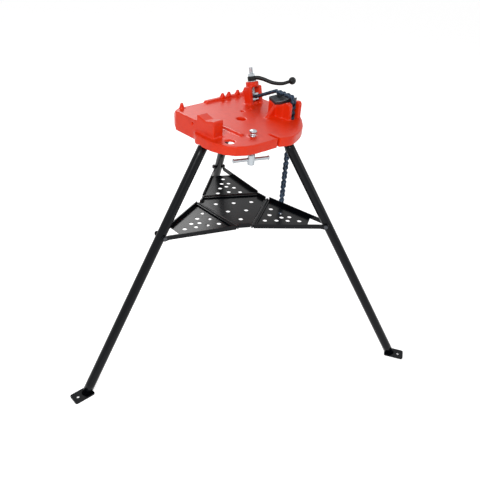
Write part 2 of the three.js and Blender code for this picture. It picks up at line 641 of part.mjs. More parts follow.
// The next point of the route that lies one pitch from a pin.
function nextPin(pin, segment) {
  for (let i = segment; i < route.length - 1; i += 1) {
    const along = route[i + 1].clone().sub(route[i]);
    const length = along.length();
    along.normalize();
    const offset = route[i].clone().sub(pin);
    const b = offset.dot(along);
    const root = b * b - offset.lengthSq() + PITCH * PITCH;
    const step = -b + Math.sqrt(Math.max(root, 0));
    if (root >= 0 && step >= 0 && step <= length) {
      return { pin: route[i].clone().addScaledVector(along, step), segment: i };
    }
  }
  throw new Error('the chain runs past the end of its route');
}

function pinsFrom(start, count) {
  const pins = [start];
  let at = { pin: start, segment: 0 };
  for (let i = 0; i < count; i += 1) {
    at = nextPin(at.pin, at.segment);
    pins.push(at.pin);
  }
  return pins;
}

// One link between two pins: an inner link is a block, an outer link a pair of plates.
function link(from, to, spans) {
  const along = to.clone().sub(from).normalize();
  const across = new THREE.Vector3().crossVectors(X, along);
  const length = to.distanceTo(from);
  const shape = new THREE.Shape();
  shape.absarc(length, 0, LINK_R, -Math.PI / 2, Math.PI / 2, false);
  shape.absarc(0, 0, LINK_R, Math.PI / 2, 1.5 * Math.PI, false);
  return spans.map(([a, b]) => prism(shape, along, across, a, b, from, 2));
}

const OUTER = [[-PLATE_OUT, -PLATE_IN], [PLATE_IN, PLATE_OUT]];
const INNER = [[-INNER_HALF, INNER_HALF]];

const runPins = pinsFrom(earPin, RUN_LINKS);
const tailTop = runPins.at(-1);
const tailPins = Array.from({ length: TAIL_LINKS + 1 },
  (_, i) => tailTop.clone().addScaledVector(Z, -i * PITCH));

function chainRun() {
  const links = runPins.slice(0, -1).flatMap((pin, i) => link(pin, runPins[i + 1], i % 2 ? INNER : OUTER));
  const pins = runPins.slice(1).map((pin) => bar(CHAIN_PIN_R, -CHAIN_PIN_HALF, CHAIN_PIN_HALF, pin, X, 6));
  return cut(join(links, pins), bar(CHAIN_PIN_R + FIT, -SLOT_HALF, SLOT_HALF, earPin, X, 12));
}

function chainTail() {
  const first = link(tailPins[0], tailPins[1], [[-PLATE_IN + FIT, PLATE_IN - FIT]]);
  const rest = tailPins.slice(1, -1).flatMap((pin, i) => {
    const spans = i % 2 ? INNER : OUTER.map(([a, b]) => (a < 0 ? [a, b + 2 * FIT] : [a - 2 * FIT, b]));
    return link(pin, tailPins[i + 2], spans);
  });
  return cut(join(first, rest), bar(CHAIN_PIN_R + FIT, -SLOT_HALF, SLOT_HALF, tailTop, X, 12));
}

place('chain_run', chainRun(), CHAIN_STEEL);
place('chain_tail', chainTail(), CHAIN_STEEL);

// Tray: a three-sided centre hinged on rods to three wings whose forks straddle the legs

const pivotR = HINGE_R + (HINGE_Z - PIVOT_Z) * Math.tan(LEG_LEAN);
const cheekIn = LEG_OD / 2 + CHEEK_GAP;
const cheekOut = cheekIn + FLANGE;
const wingTurns = Object.values(LEG_AZIMUTHS).map((azimuth) => THREE.MathUtils.degToRad(azimuth));
const trayTop = TRAY_Z + TRAY_SHEET;

function polar(radius, angle) {
  return [radius * Math.cos(angle), radius * Math.sin(angle)];
}

function rodAt(azimuth) {
  return new THREE.Vector3(ROD_RADIUS, 0, ROD_Z).applyAxisAngle(Z, azimuth);
}

function tangent(azimuth) {
  return Y.clone().applyAxisAngle(Z, azimuth);
}

function trayCentre() {
  const sideHalf = CENTRE_IN * Math.tan(Math.PI / 3) - (2 * CENTRE_IN - CORNER_R) / Math.cos(Math.PI / 6);
  const corners = wingTurns.slice().sort((a, b) => a - b).flatMap((turn) => [-1, 1].map((end) => {
    const point = new THREE.Vector3(CENTRE_IN, end * sideHalf, 0).applyAxisAngle(Z, turn);
    return [point.x, point.y];
  }));
  const shape = polygon(corners);
  wingTurns.forEach((turn) => {
    hole(shape, ...polar(CENTRE_HOLES.corner, turn + Math.PI), HOLE_R);
    hole(shape, ...polar(CENTRE_HOLES.middle, turn), HOLE_R);
  });
  const sheet = prism(shape, X, Y, TRAY_Z, trayTop, new THREE.Vector3(), 3);
  const rims = corners.map((corner, i) => {
    const a = new THREE.Vector2(...corner);
    const b = new THREE.Vector2(...corners[(i + 1) % corners.length]);
    const along = b.clone().sub(a).normalize();
    const in2 = along.rotateAround(new THREE.Vector2(), Math.PI / 2).multiplyScalar(FLANGE);
    const strip = new THREE.Shape([a, b, b.clone().add(in2), a.clone().add(in2)]);
    return prism(strip, X, Y, TRAY_Z, TRAY_Z + (i % 2 ? TRAY_RIM : TRAY_LOW_RIM));
  });
  const knuckles = wingTurns.flatMap((turn) => {
    const web = box(CENTRE_IN - FLANGE, ROD_RADIUS, -KNUCKLE_SPLIT, KNUCKLE_SPLIT, TRAY_Z, ROD_Z + 1);
    return [bar(KNUCKLE_R, -KNUCKLE_SPLIT, KNUCKLE_SPLIT, rodAt(turn), tangent(turn), 14),
      web.rotate([0, 0, THREE.MathUtils.radToDeg(turn)])];
  });
  const bores = wingTurns.map((turn) => {
    return bar(ROD_R + FIT, -ROD_HALF, ROD_HALF, rodAt(turn), tangent(turn), 12);
  });
  return cut(join(sheet, rims, knuckles), bores);
}

const cheekStart = pivotR - CHEEK_RUN;
const edgeAt = (r) => WING_HALF + (cheekOut - WING_HALF) * (r - WING_IN) / (cheekStart - WING_IN);

function trayWing() {
  const floor = polygon([[WING_IN, -edgeAt(WING_IN) + 1], [CROTCH_R, -edgeAt(CROTCH_R) + 1],
    [CROTCH_R, edgeAt(CROTCH_R) - 1], [WING_IN, edgeAt(WING_IN) - 1]]);
  WING_HOLES.forEach(([share, t]) => hole(floor, WING_IN + share * (CROTCH_R - WING_IN), t, HOLE_R));
  const sheet = prism(floor, X, Y, TRAY_Z, trayTop, new THREE.Vector3(), 3);
  const sides = [1, -1].flatMap((side) => {
    const strip = polygon([[WING_IN, edgeAt(WING_IN)], [WING_IN, edgeAt(WING_IN) - FLANGE],
      [cheekStart, cheekIn], [pivotR, cheekIn], [pivotR, cheekOut], [cheekStart, cheekOut]]
      .map(([r, t]) => [r, side * t]));
    const inner = side > 0 ? cheekIn : -cheekOut;
    const pivot = new THREE.Vector3(pivotR, 0, PIVOT_Z);
    return [prism(strip, X, Y, TRAY_Z, TRAY_Z + TRAY_RIM),
      bar(CHEEK_END_R, inner, inner + FLANGE, pivot, Y)];
  });
  const inner = box(WING_IN, WING_IN + FLANGE, -WING_HALF + 1, WING_HALF - 1, TRAY_Z, TRAY_Z + TRAY_LOW_RIM);
  const rod = new THREE.Vector3(ROD_RADIUS, 0, ROD_Z);
  const knuckles = [1, -1].flatMap((side) => {
    const ends = [side * (KNUCKLE_SPLIT + RUN), side * KNUCKLE_END].sort((a, b) => a - b);
    return [bar(KNUCKLE_R, ends[0], ends[1], rod, Y, 14),
      box(ROD_RADIUS, WING_IN + FLANGE, ends[0], ends[1], TRAY_Z, ROD_Z + 1)];
  });
  const pivotBore = bar(BOLT.r + FIT, -WING_HALF, WING_HALF, new THREE.Vector3(pivotR, 0, PIVOT_Z), Y, 14);
  return cut(join(sheet, sides, inner, knuckles),
    bar(ROD_R + FIT, -ROD_HALF, ROD_HALF, rod, Y, 12), pivotBore);
}

// Each wing's two pivot bolts stop just short of the tube that the fork straddles.
function wingBolt(side) {
  const tip = cheekIn - CHEEK_GAP + RUN;
  const seat = cheekOut + FIT;
  const profile = [[0, tip], [BOLT.r, tip], [BOLT.r, seat], [BOLT.headR, seat],
    [BOLT.headR, seat + BOLT.headT], [0, seat + BOLT.headT]];
  return turned(profile, new THREE.Vector3(pivotR, 0, PIVOT_Z), Y.clone().multiplyScalar(side), 12);
}

place('tray_centre', trayCentre(), BLACK);
for (const [side, azimuth] of Object.entries(LEG_AZIMUTHS)) {
  const rod = new THREE.Vector3(ROD_RADIUS, 0, ROD_Z);
  place(`tray_wing_${side}`, trayWing(), BLACK, azimuth);
  place(`tray_rod_${side}`, bar(ROD_R, -ROD_HALF, ROD_HALF, rod, Y, 12), STEEL, azimuth);
  place(`wing_bolt_${side}_a`, wingBolt(1), STEEL, azimuth);
  place(`wing_bolt_${side}_b`, wingBolt(-1), STEEL, azimuth);
}

// Ceiling brace screw with its swivel cap and sliding bar

const braceAxis = new THREE.Vector3(BRACE.x, BRACE.y, 0);
const barMiddle = new THREE.Vector3(BRACE.x, BRACE.y, (BRACE_HUB.top + BRACE_HUB.bottom) / 2);
const barDirection = X.clone().applyAxisAngle(Z, THREE.MathUtils.degToRad(BAR.azimuth));

function braceScrew() {
  const profile = [[0, BRACE_HUB.bottom], [BRACE_HUB.r, BRACE_HUB.bottom], [BRACE_HUB.r, BRACE_HUB.top],
    [BRACE_R, BRACE_HUB.top], [BRACE_R, BRACE_TOP], [BRACE_TIP_R, BRACE_TOP],
    [BRACE_TIP_R, BRACE_TOP + BRACE_TIP], [0, BRACE_TOP + BRACE_TIP]];
  const cross = bar(BAR.r + FIT, -BRACE_HUB.r - 1, BRACE_HUB.r + 1, barMiddle, barDirection, 14);
  return cut(turned(profile, braceAxis, Z), cross);
}

function braceCap() {
  const low = BRACE_TOP + FIT;
  const roof = BRACE_TOP + BRACE_TIP + FIT;
  const top = low + CAP.height;
  const profile = [[BRACE_TIP_R + FIT, low], [CAP.r, low], [CAP.r, top - 4], [CAP.r * 0.72, top - 1],
    [0, top], [0, roof], [BRACE_TIP_R + FIT, roof], [BRACE_TIP_R + FIT, low]];
  return turned(profile, braceAxis, Z);
}

function braceBar() {
  const half = BAR.length / 2;
  const profile = [[0, -half], [BAR.endR, -half], [BAR.endR, -half + BAR.endT], [BAR.r, -half + BAR.endT],
    [BAR.r, half - BAR.endT], [BAR.endR, half - BAR.endT], [BAR.endR, half], [0, half]];
  return turned(profile, barMiddle, barDirection, 14);
}

place('brace_screw', braceScrew(), ZINC);
place('brace_cap', braceCap(), ZINC);
place('brace_bar', braceBar(), ZINC);

// The row's origin is on the floor under the middle of the object's outline box.
part.updateMatrixWorld(true);
const middle = new THREE.Box3().setFromObject(part).getCenter(new THREE.Vector3());
part.children.forEach((mesh) => {
  mesh.position.x -= middle.x;
  mesh.position.y -= middle.y;
});

export default part;
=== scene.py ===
# %% [markdown]
# # A tripod chain-vise stand
#
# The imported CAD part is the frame: it fixes every place and size. This notebook gives it its
# looks. Cast pieces get soft edges, bars become truly round, the screws get threads, the chain
# gets plates, rollers and pins, and every piece gets a procedural material.

# %% Load the frame
import json
import math

import bpy
import numpy as np
from mathutils import Matrix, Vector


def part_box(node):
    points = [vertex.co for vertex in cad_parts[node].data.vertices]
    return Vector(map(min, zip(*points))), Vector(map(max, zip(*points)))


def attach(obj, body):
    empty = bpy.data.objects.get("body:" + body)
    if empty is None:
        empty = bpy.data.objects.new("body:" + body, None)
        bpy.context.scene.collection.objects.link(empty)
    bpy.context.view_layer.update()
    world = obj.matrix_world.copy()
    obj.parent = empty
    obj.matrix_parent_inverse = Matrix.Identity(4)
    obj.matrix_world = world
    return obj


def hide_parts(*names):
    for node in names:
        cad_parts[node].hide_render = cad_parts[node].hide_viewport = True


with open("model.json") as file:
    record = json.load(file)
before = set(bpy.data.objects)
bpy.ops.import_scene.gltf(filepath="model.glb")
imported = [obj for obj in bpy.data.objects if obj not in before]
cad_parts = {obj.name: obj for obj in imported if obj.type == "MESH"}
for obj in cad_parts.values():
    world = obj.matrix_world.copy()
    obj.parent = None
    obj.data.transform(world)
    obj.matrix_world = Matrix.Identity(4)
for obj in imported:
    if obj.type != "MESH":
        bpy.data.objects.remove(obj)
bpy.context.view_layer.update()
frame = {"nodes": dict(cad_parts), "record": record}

# %% [markdown]
# ## Driving sizes
#
# Blender works in metres. The CAD part already fixes where everything sits, so places are read
# from the frame: from a node's box or from a joint's pin. A size that the CAD leaves out, such as
# a thread's depth, gets a name in the cell that first needs it, and so does a radius or length
# that a turned piece repeats from the CAD.

# %% Driving sizes
MM = 0.001
BODIES = frame["record"]["behaviour"]["bodies"]
JOINTS = {joint["name"]: joint for joint in frame["record"]["behaviour"]["joints"]}
BODY_OF = {node: body for body, nodes in BODIES.items() for node in nodes}
SIDES = ("rear", "right", "left")
EDGE = 0.7 * MM


# %% [markdown]
# ## Surfaces from formulas
#
# The stand is made of bars, tubes, screws and plates, and each could be built from Blender's
# primitives and pulled into shape. Here every new shape is a grid of points instead: a function
# of two parameters, `u` around and `v` along. numpy works the whole grid out at once, the
# formula can be read and changed, and one helper turns the grid into a mesh.

# %% Surface helpers
def mesh_object(name, vertices, faces, smooth=True):
    """A mesh object from an (n, 3) array of points and lists of faces."""
    mesh = bpy.data.meshes.new(name)
    mesh.from_pydata(vertices.tolist(), [], [list(face) for face in faces])
    mesh.polygons.foreach_set("use_smooth", [smooth] * len(mesh.polygons))
    mesh.update()
    obj = bpy.data.objects.new(name, mesh)
    bpy.context.scene.collection.objects.link(obj)
    return obj


def tube_faces(rings, around):
    """Quads between neighbouring rings of points, and one flat face on each end."""
    v, u = np.meshgrid(np.arange(rings - 1), np.arange(around), indexing="ij")
    low, high = v * around, (v + 1) * around
    nxt = (u + 1) % around
    quads = np.stack([low + u, low + nxt, high + nxt, high + u], axis=-1).reshape(-1, 4)
    first = np.arange(around)[::-1]
    last = np.arange(around) + (rings - 1) * around
    return quads.tolist() + [first.tolist(), last.tolist()]


def basis(axis):
    """Two unit directions square to an axis, so that (a, b, axis) is right-handed."""
    axis = np.asarray(axis, float)
    axis = axis / np.linalg.norm(axis)
    helper = np.array([0.0, 0, 1]) if abs(axis[2]) < 0.9 else np.array([1.0, 0, 0])
    a = np.cross(helper, axis)
    a /= np.linalg.norm(a)
    return a, np.cross(axis, a), axis


def revolved(profile, origin, axis, around=48, ripple=None):
    """Points r(v)*(a cos u + b sin u) + d(v)*axis for a profile of (r, d).

    ripple(u, d) is added to the radius, which is how a thread is cut."""
    a, b, axis = basis(axis)
    r, d = np.asarray(profile, float).T
    u = np.linspace(0, 2 * np.pi, around, endpoint=False)
    radius = r[:, None] + (ripple(u[None, :], d[:, None]) if ripple else 0)
    ring = np.cos(u)[:, None] * a + np.sin(u)[:, None] * b
    points = radius[..., None] * ring[None] + d[:, None, None] * axis + np.asarray(origin)
    return points.reshape(-1, 3), tube_faces(len(r), around)


def merged(name, pieces, smooth=True):
    """One mesh object from several (points, faces) pairs."""
    points, faces, start = [], [], 0
    for p, f in pieces:
        points.append(p)
        faces.extend([[i + start for i in face] for face in f])
        start += len(p)
    return mesh_object(name, np.concatenate(points), faces, smooth)


print("a turned grid of two rings has", len(revolved([(1, 0), (1, 1)], (0, 0, 0), (0, 0, 1))[0]), "points")


# %% [markdown]
# ## Materials
#
# The stand has six finishes: enamel on the casting, enamel on the tubes and sheet, forged iron,
# zinc plate, hardened steel and blued chain steel. Each could be a photograph wrapped on the
# mesh, but a procedural finish needs no picture and stays sharp at any distance. Colours are
# sRGB hex values, converted once to the linear values that Blender's shader wants, and pattern
# sizes are given in millimetres.

# %% Material helpers
COAT_ROUGHNESS = 0.12
DENT_DEPTH = 0.3 * MM
GRAINS_PER_PATCH = 12


def linear(hex_colour):
    """sRGB hex to a linear RGBA tuple."""
    channels = [int(hex_colour[i:i + 2], 16) / 255 for i in (1, 3, 5)]
    return tuple(c / 12.92 if c <= 0.04045 else ((c + 0.055) / 1.055) ** 2.4 for c in channels) + (1.0,)


def add_node(tree, kind, inputs=None, **settings):
    """Add a shader node, set its properties and input values, and return it."""
    node = tree.nodes.new(kind)
    for key, value in settings.items():
        setattr(node, key, value)
    for key, value in (inputs or {}).items():
        node.inputs[key].default_value = value
    return node


def material(name, colour, roughness, metallic=0.0, coat=0.0, shine=0.5, grain_mm=3.0, grain=0.08,
             bump=0.1, spots=None):
    """A principled surface whose roughness wavers with a noise of the given grain, with a little
    bump. spots is a second colour mixed in where a coarser noise is high."""
    made = bpy.data.materials.new(name)
    made.use_nodes = True
    tree = made.node_tree
    shader = tree.nodes["Principled BSDF"]
    shader.inputs["Base Color"].default_value = linear(colour)
    shader.inputs["Metallic"].default_value = metallic
    shader.inputs["Specular IOR Level"].default_value = shine
    shader.inputs["Coat Weight"].default_value = coat
    shader.inputs["Coat Roughness"].default_value = COAT_ROUGHNESS
    place = add_node(tree, "ShaderNodeTexCoord")
    noise = add_node(tree, "ShaderNodeTexNoise", {"Scale": 1000 / grain_mm, "Detail": 4.0})
    spread = add_node(tree, "ShaderNodeMapRange",
                      {"To Min": roughness - grain, "To Max": roughness + grain})
    dents = add_node(tree, "ShaderNodeBump", {"Strength": bump, "Distance": DENT_DEPTH})
    tree.links.new(place.outputs["Object"], noise.inputs["Vector"])
    tree.links.new(noise.outputs["Fac"], spread.inputs["Value"])
    tree.links.new(spread.outputs["Result"], shader.inputs["Roughness"])
    tree.links.new(noise.outputs["Fac"], dents.inputs["Height"])
    tree.links.new(dents.outputs["Normal"], shader.inputs["Normal"])
    if spots:
        patches = add_node(tree, "ShaderNodeTexNoise",
                           {"Scale": 1000 / (grain_mm * GRAINS_PER_PATCH), "Detail": 3.0})
        choose = add_node(tree, "ShaderNodeMapRange", {"From Min": 0.5, "From Max": 0.75})
        mix = add_node(tree, "ShaderNodeMix", data_type="RGBA")
        mix.inputs["A"].default_value = linear(colour)
        mix.inputs["B"].default_value = linear(spots)
        tree.links.new(place.outputs["Object"], patches.inputs["Vector"])
        tree.links.new(patches.outputs["Fac"], choose.inputs["Value"])
        tree.links.new(choose.outputs["Result"], mix.inputs["Factor"])
        tree.links.new(mix.outputs["Result"], shader.inputs["Base Color"])
    return made


print("red enamel is", linear("#E83208"), "in linear light")

# %% [markdown]
# ## The six finishes
#
# An enamel is a smooth dielectric with a thin clear skin. A bare metal reflects in its own
# colour, so its metallic value is high and its gloss comes from roughness alone. The grain of
# each noise is its real size in millimetres. The enamels' ripple is a little coarser than the
# real one, because that is too fine to show.

# %% Finishes
# Gloss enamel sprayed over sand-cast iron: saturated, with soft highlights that waver a little.
RED_ENAMEL = material("red_orange_enamel", "#E83208", 0.34, coat=0.08, shine=0.24, grain_mm=2.0,
                      bump=0.1, spots="#DE2A06")
# Gloss black enamel on drawn tube and sheet: nearly black, with one long streak of light.
BLACK_ENAMEL = material("black_enamel", "#05070C", 0.22, coat=0.02, shine=0.16, grain_mm=2.5, bump=0.03)
# Forged iron, blacked in oil: dull, with the small dents of the hammer.
FORGED_IRON = material("black_forged_iron", "#0D0E10", 0.42, metallic=0.1, shine=0.3, grain_mm=1.5,
                       bump=0.15)
# Steel with a bright zinc plate: pale and mirror-like, blurred by the plating's fine grain.
ZINC = material("zinc_plated_steel", "#B4BABF", 0.3, metallic=1.0, grain_mm=1.2, bump=0.04)
# Hardened and tempered tool steel: dark grey with a satin gloss.
HARD_STEEL = material("hardened_steel", "#4A4C50", 0.4, metallic=0.9, grain_mm=1.0, bump=0.06)
# Stamped chain plates, blued by heat: blue-grey with darker patches.
CHAIN_STEEL = material("blued_chain_steel", "#39485A", 0.38, metallic=0.85, grain_mm=1.0, bump=0.05,
                       spots="#2A333E")
SLOT_FINISH = {"casting": RED_ENAMEL, "black_enamel": BLACK_ENAMEL, "forged": FORGED_IRON,
               "jaw_steel": HARD_STEEL, "zinc": ZINC, "chain_steel": CHAIN_STEEL}
SLOT_OF = {entry["node"]: entry["material_slot"] for entry in frame["record"]["subparts"]}


def dress(obj, *nodes):
    """Give a piece the finish of the CAD nodes it stands for, and let it ride with their body."""
    slot = SLOT_OF[nodes[0]]
    obj.data.materials.clear()
    obj.data.materials.append(SLOT_FINISH[slot])
    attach(obj, BODY_OF[nodes[0]])
    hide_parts(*nodes)
    return obj


for name, node in frame["nodes"].items():
    node.data.materials.clear()
    node.data.materials.append(SLOT_FINISH[SLOT_OF[name]])
print(len(SLOT_FINISH), "finishes on", len(SLOT_OF), "nodes")


# %% [markdown]
# ## Soft edges on the casting
#
# The base is cast in sand, so it has no sharp edge inside or out. A bevel would fail on its many
# crossing ribs, so a copy of the CAD solid is rebuilt from small voxels and smoothed, which
# rounds every edge and fillets every corner.

# %% Softened copies
CAST_VOXEL = 2.45 * MM
CAST_SMOOTHING = 11
WELD_WITHIN = 0.01 * MM


def copied(node, name):
    """A merged copy of a CAD node."""
    obj = bpy.data.objects.new(name, frame["nodes"][node].data.copy())
    bpy.context.scene.collection.objects.link(obj)
    weld = obj.modifiers.new("weld", "WELD")
    weld.merge_threshold = WELD_WITHIN
    return obj


def settled(obj):
    """Apply an object's modifiers by taking its evaluated mesh."""
    graph = bpy.context.evaluated_depsgraph_get()
    mesh = bpy.data.meshes.new_from_object(obj.evaluated_get(graph))
    obj.modifiers.clear()
    obj.data = mesh
    mesh.polygons.foreach_set("use_smooth", [True] * len(mesh.polygons))
    return obj


def cast_copy(node):
    """A copy rebuilt from voxels and smoothed, with the rounded edges of a casting."""
    obj = copied(node, "cast_" + node)
    remesh = obj.modifiers.new("voxels", "REMESH")
    remesh.mode = "VOXEL"
    remesh.voxel_size = CAST_VOXEL
    smooth = obj.modifiers.new("smooth", "SMOOTH")
    smooth.factor = 0.5
    smooth.iterations = CAST_SMOOTHING
    return dress(settled(obj), node)


cast_copy("base_casting")
print("voxels of", CAST_VOXEL / MM, "mm for the casting")

# %% [markdown]
# ## Round holes in the tray
#
# The tray's sheet is punched with round holes, so that water and swarf fall through. The CAD
# holes have six sides. Their middles are measured on the CAD mesh, and one boolean then drills
# them round. A boolean suits flat sheet well, because the cut meets only plain faces.

# %% Where the holes are
HOLE_SIDES = 6
HOLE_WALL = 8 * MM
HOLE_RADIUS = 8.2 * MM
HOLE_ROUND = 48
SHEET_THICK = 2.5 * MM
SAME_PLACE = 0.3 * MM
UPRIGHT_WITHIN = 0.01
WIDTH_WITHIN = 0.1 * MM
THICK_WITHIN = 0.01 * MM


def hole_centres(node):
    """Middles of the holes in a sheet. The CAD holes have six flat walls, each as wide as the
    radius, that face their middle. So a middle is where the points
    wall middle + normal * width * cos(30 degrees) of all six walls meet."""
    mesh = frame["nodes"][node].data
    points = np.empty(len(mesh.vertices) * 3)
    mesh.vertices.foreach_get("co", points)
    corners = np.empty(len(mesh.polygons) * 3, int)
    mesh.loops.foreach_get("vertex_index", corners)
    triangles = points.reshape(-1, 3)[corners].reshape(-1, 3, 3)
    low, high = triangles.min(axis=1), triangles.max(axis=1)
    normal = np.cross(triangles[:, 1] - triangles[:, 0], triangles[:, 2] - triangles[:, 0])
    normal /= np.maximum(np.linalg.norm(normal, axis=1), 1e-12)[:, None]
    width = np.linalg.norm((high - low)[:, :2], axis=1)
    walls = (np.abs(normal[:, 2]) < UPRIGHT_WITHIN) & np.isclose(width, HOLE_WALL, atol=WIDTH_WITHIN)
    walls &= np.isclose((high - low)[:, 2], SHEET_THICK, atol=THICK_WITHIN)
    aims = ((low + high) / 2 + normal * width[:, None] * math.cos(math.pi / HOLE_SIDES))[walls]
    near = np.linalg.norm(aims[:, None] - aims[None], axis=2) < SAME_PLACE
    met = near.sum(axis=1) >= 2 * HOLE_SIDES - 2
    middles = (near @ aims) / near.sum(axis=1)[:, None]
    return np.unique(np.round(middles[met], 5), axis=0)


print("the tray's centre has", len(hole_centres("tray_centre")), "holes")

# %% [markdown]
# ## Eased edges on sheet and forgings
#
# Bent sheet, forged eyes and nuts are crisp, but no real edge is perfectly sharp. A bevel of two
# narrow segments gives each edge a line of light. The flat faces stay flat-shaded.

# %% Eased copies
BEVEL_FROM = math.radians(35)
FLAT_WITHIN = math.radians(1)


def bevelled_copy(node, width=EDGE):
    """A copy with its edges bevelled over two segments, and round holes where the CAD node has
    six-sided ones."""
    obj = copied(node, "eased_" + node)
    middles = hole_centres(node)
    if len(middles):
        rim = [(0, -SHEET_THICK), (HOLE_RADIUS, -SHEET_THICK), (HOLE_RADIUS, SHEET_THICK),
               (0, SHEET_THICK)]
        drills = merged("drills", [revolved(rim, middle, (0, 0, 1), HOLE_ROUND) for middle in middles])
        cut = obj.modifiers.new("holes", "BOOLEAN")
        cut.object = drills
        print(node, "has", len(middles), "round holes")
    flat = obj.modifiers.new("flat", "DECIMATE")
    flat.decimate_type = "DISSOLVE"
    flat.angle_limit = FLAT_WITHIN
    bevel = obj.modifiers.new("bevel", "BEVEL")
    bevel.width = width
    bevel.segments = 2
    bevel.limit_method = "ANGLE"
    bevel.angle_limit = BEVEL_FROM
    settled(obj)
    if len(middles):
        bpy.data.objects.remove(drills)
    obj.data.polygons.foreach_set("use_smooth", [False] * len(obj.data.polygons))
    return dress(obj, node)


EASED = ["tray_centre"]
EASED += [f"{kind}_{side}" for kind in ("tray_wing", "foot", "leg_tang") for side in SIDES]
EASED += ["travelling_nut", "crank_nut"]
for node in EASED:
    bevelled_copy(node)
print(len(EASED), "eased pieces")

# %% [markdown]
# ## Legs
#
# The legs are drawn steel tube, but their CAD solids have flat facets. A cylinder could be leaned
# over and cut level. A tube is simply a profile turned about its own line,
# `r(v) * (a cos u + b sin u) + d(v) * axis`, which is as round as its number of sides, so each leg
# is turned again here with more sides.

# %% Legs
LEG_R = (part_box("leg_rear")[1][1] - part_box("leg_rear")[0][1]) / 2
LEG_WALL = 3 * MM
LEG_LEAN = math.radians(32.4)
LEG_SIDES = 64
LEG_RINGS = 30
TUBE_START = 18 * MM
TUBE_LIP = 6 * MM
LEVEL_ZONE = 40 * MM


def leg(side):
    """One tube from the hinge's tang to the foot, turned about hinge + d*along. Its last ring
    slides along the tube to one level, p + along * (bottom - p.z) / along.z, so the end is cut
    level above the toe plate."""
    joint = JOINTS[f"leg_fold_{side}"]
    hinge = np.array(joint["pos_m"])
    out = np.cross(joint["axis"], [0, 0, 1.0])
    along = out * math.sin(LEG_LEAN) - np.array([0, 0, 1.0]) * math.cos(LEG_LEAN)
    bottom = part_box(f"leg_{side}")[0][2]
    end = (hinge[2] - bottom) / math.cos(LEG_LEAN)
    inner, outer = LEG_R - LEG_WALL, LEG_R
    d = np.linspace(TUBE_START, end, LEG_RINGS)
    profile = [(inner, TUBE_START + TUBE_LIP), (inner, TUBE_START), (outer - EDGE, TUBE_START),
               (outer, TUBE_START + EDGE), *((outer, x) for x in d[1:])]
    points, faces = revolved(profile, hinge, along, LEG_SIDES)
    low = points[:, 2] < bottom + LEVEL_ZONE
    last = np.arange(len(points)) >= len(points) - LEG_SIDES
    rise = (bottom - points[:, 2]) / along[2]
    points[last & low] += (rise[:, None] * along)[last & low]
    return dress(merged(f"tube_{side}", [(points, faces)]), f"leg_{side}")


for side in SIDES:
    leg(side)
print("three tubes of", 2 * LEG_R / MM, "mm")

# %% [markdown]
# ## Rods and the brace bar
#
# The tray's hinge rods and the brace's sliding bar are round bar, turned in the same way. A bevel
# could ease their ends. Here the corners of the profile are rounded before it is turned, which
# needs no modifier and keeps one clean grid.

# %% Rods and bar
ROD_RADIUS = 3.5 * MM
ROD_HALF = 116 * MM
BAR_RADIUS = 6 * MM
BAR_HALF = 67 * MM
KNOB_RADIUS = 7.6 * MM
KNOB_START = 63 * MM
KNOB_FOOT = 62.5 * MM
CORNER_SHARE = 0.45


def centre(node):
    """The middle of a CAD node's box."""
    low, high = (np.array(corner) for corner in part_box(node))
    return (low + high) / 2


def softened(profile, radius=EDGE, steps=4):
    """The profile with each inner corner replaced by a small arc: a quadratic curve
    p(t) = (1-t)^2 p0 + 2 t(1-t) corner + t^2 p1. It takes at most a set share of a side."""
    points = [np.asarray(p, float) for p in profile]
    out = [points[0]]
    for before, corner, after in zip(points, points[1:], points[2:]):
        back, on = before - corner, after - corner
        p0 = corner + back * min(CORNER_SHARE, radius / max(np.linalg.norm(back), 1e-9))
        p1 = corner + on * min(CORNER_SHARE, radius / max(np.linalg.norm(on), 1e-9))
        t = np.linspace(0, 1, steps)[:, None]
        out.extend((1 - t) ** 2 * p0 + 2 * t * (1 - t) * corner + t ** 2 * p1)
    return np.array(out + [points[-1]])


def end_on(node, name, axis, profile, around):
    """A profile with softened corners, turned about the middle of a CAD node."""
    return dress(merged(name, [revolved(softened(profile), centre(node), axis, around)]), node)


for side in SIDES:
    end_on(f"tray_rod_{side}", f"hinge_rod_{side}", JOINTS[f"leg_fold_{side}"]["axis"],
           [(0, -ROD_HALF), (ROD_RADIUS, -ROD_HALF), (ROD_RADIUS, ROD_HALF), (0, ROD_HALF)], 24)

end_on("brace_bar", "tommy_bar", JOINTS["bar_slide"]["axis"],
       [(0, -BAR_HALF), (KNOB_RADIUS, -BAR_HALF), (KNOB_RADIUS, -KNOB_START), (BAR_RADIUS, -KNOB_FOOT),
        (BAR_RADIUS, KNOB_FOOT), (KNOB_RADIUS, KNOB_START), (KNOB_RADIUS, BAR_HALF), (0, BAR_HALF)], 32)
print("three rods of", 2 * ROD_RADIUS / MM, "mm and a bar of", 2 * BAR_RADIUS / MM, "mm")

# %% [markdown]
# ## Screws
#
# The vise screw pulls the chain tight and stands up through the crank's hub, where its thread
# shows. A thread could be swept as a helix and joined to the bar. Here it is a ripple on a turned
# bar: the radius falls by the thread's depth as the phase `d/pitch - u/2pi` moves away from the
# crest, so the crest climbs one pitch each turn. That keeps one clean grid. The vise screw is
# left-handed, so that a clockwise crank draws the nut down.

# %% Threaded screws
THREAD_PITCH = 5.0 * MM
THREAD_DEPTH = 1.3 * MM
RINGS_PER_TURN = 12
SCREW_AXIS = np.array(JOINTS["crank_turn"]["axis"])
SCREW_FOOT = np.array(JOINTS["crank_turn"]["pos_m"])


def thread(pitch, depth, start, end, hand=1):
    """A ripple whose crest climbs one pitch per turn: -depth*|2 frac(d/pitch - hand*u/2pi) - 1|,
    right-handed for a hand of 1 and left-handed for -1."""
    def ripple(u, d):
        phase = d / pitch - hand * u / (2 * np.pi)
        wave = np.abs(2 * (phase - np.floor(phase)) - 1)
        inside = (d > start) & (d < end)
        return -depth * wave * inside
    return ripple


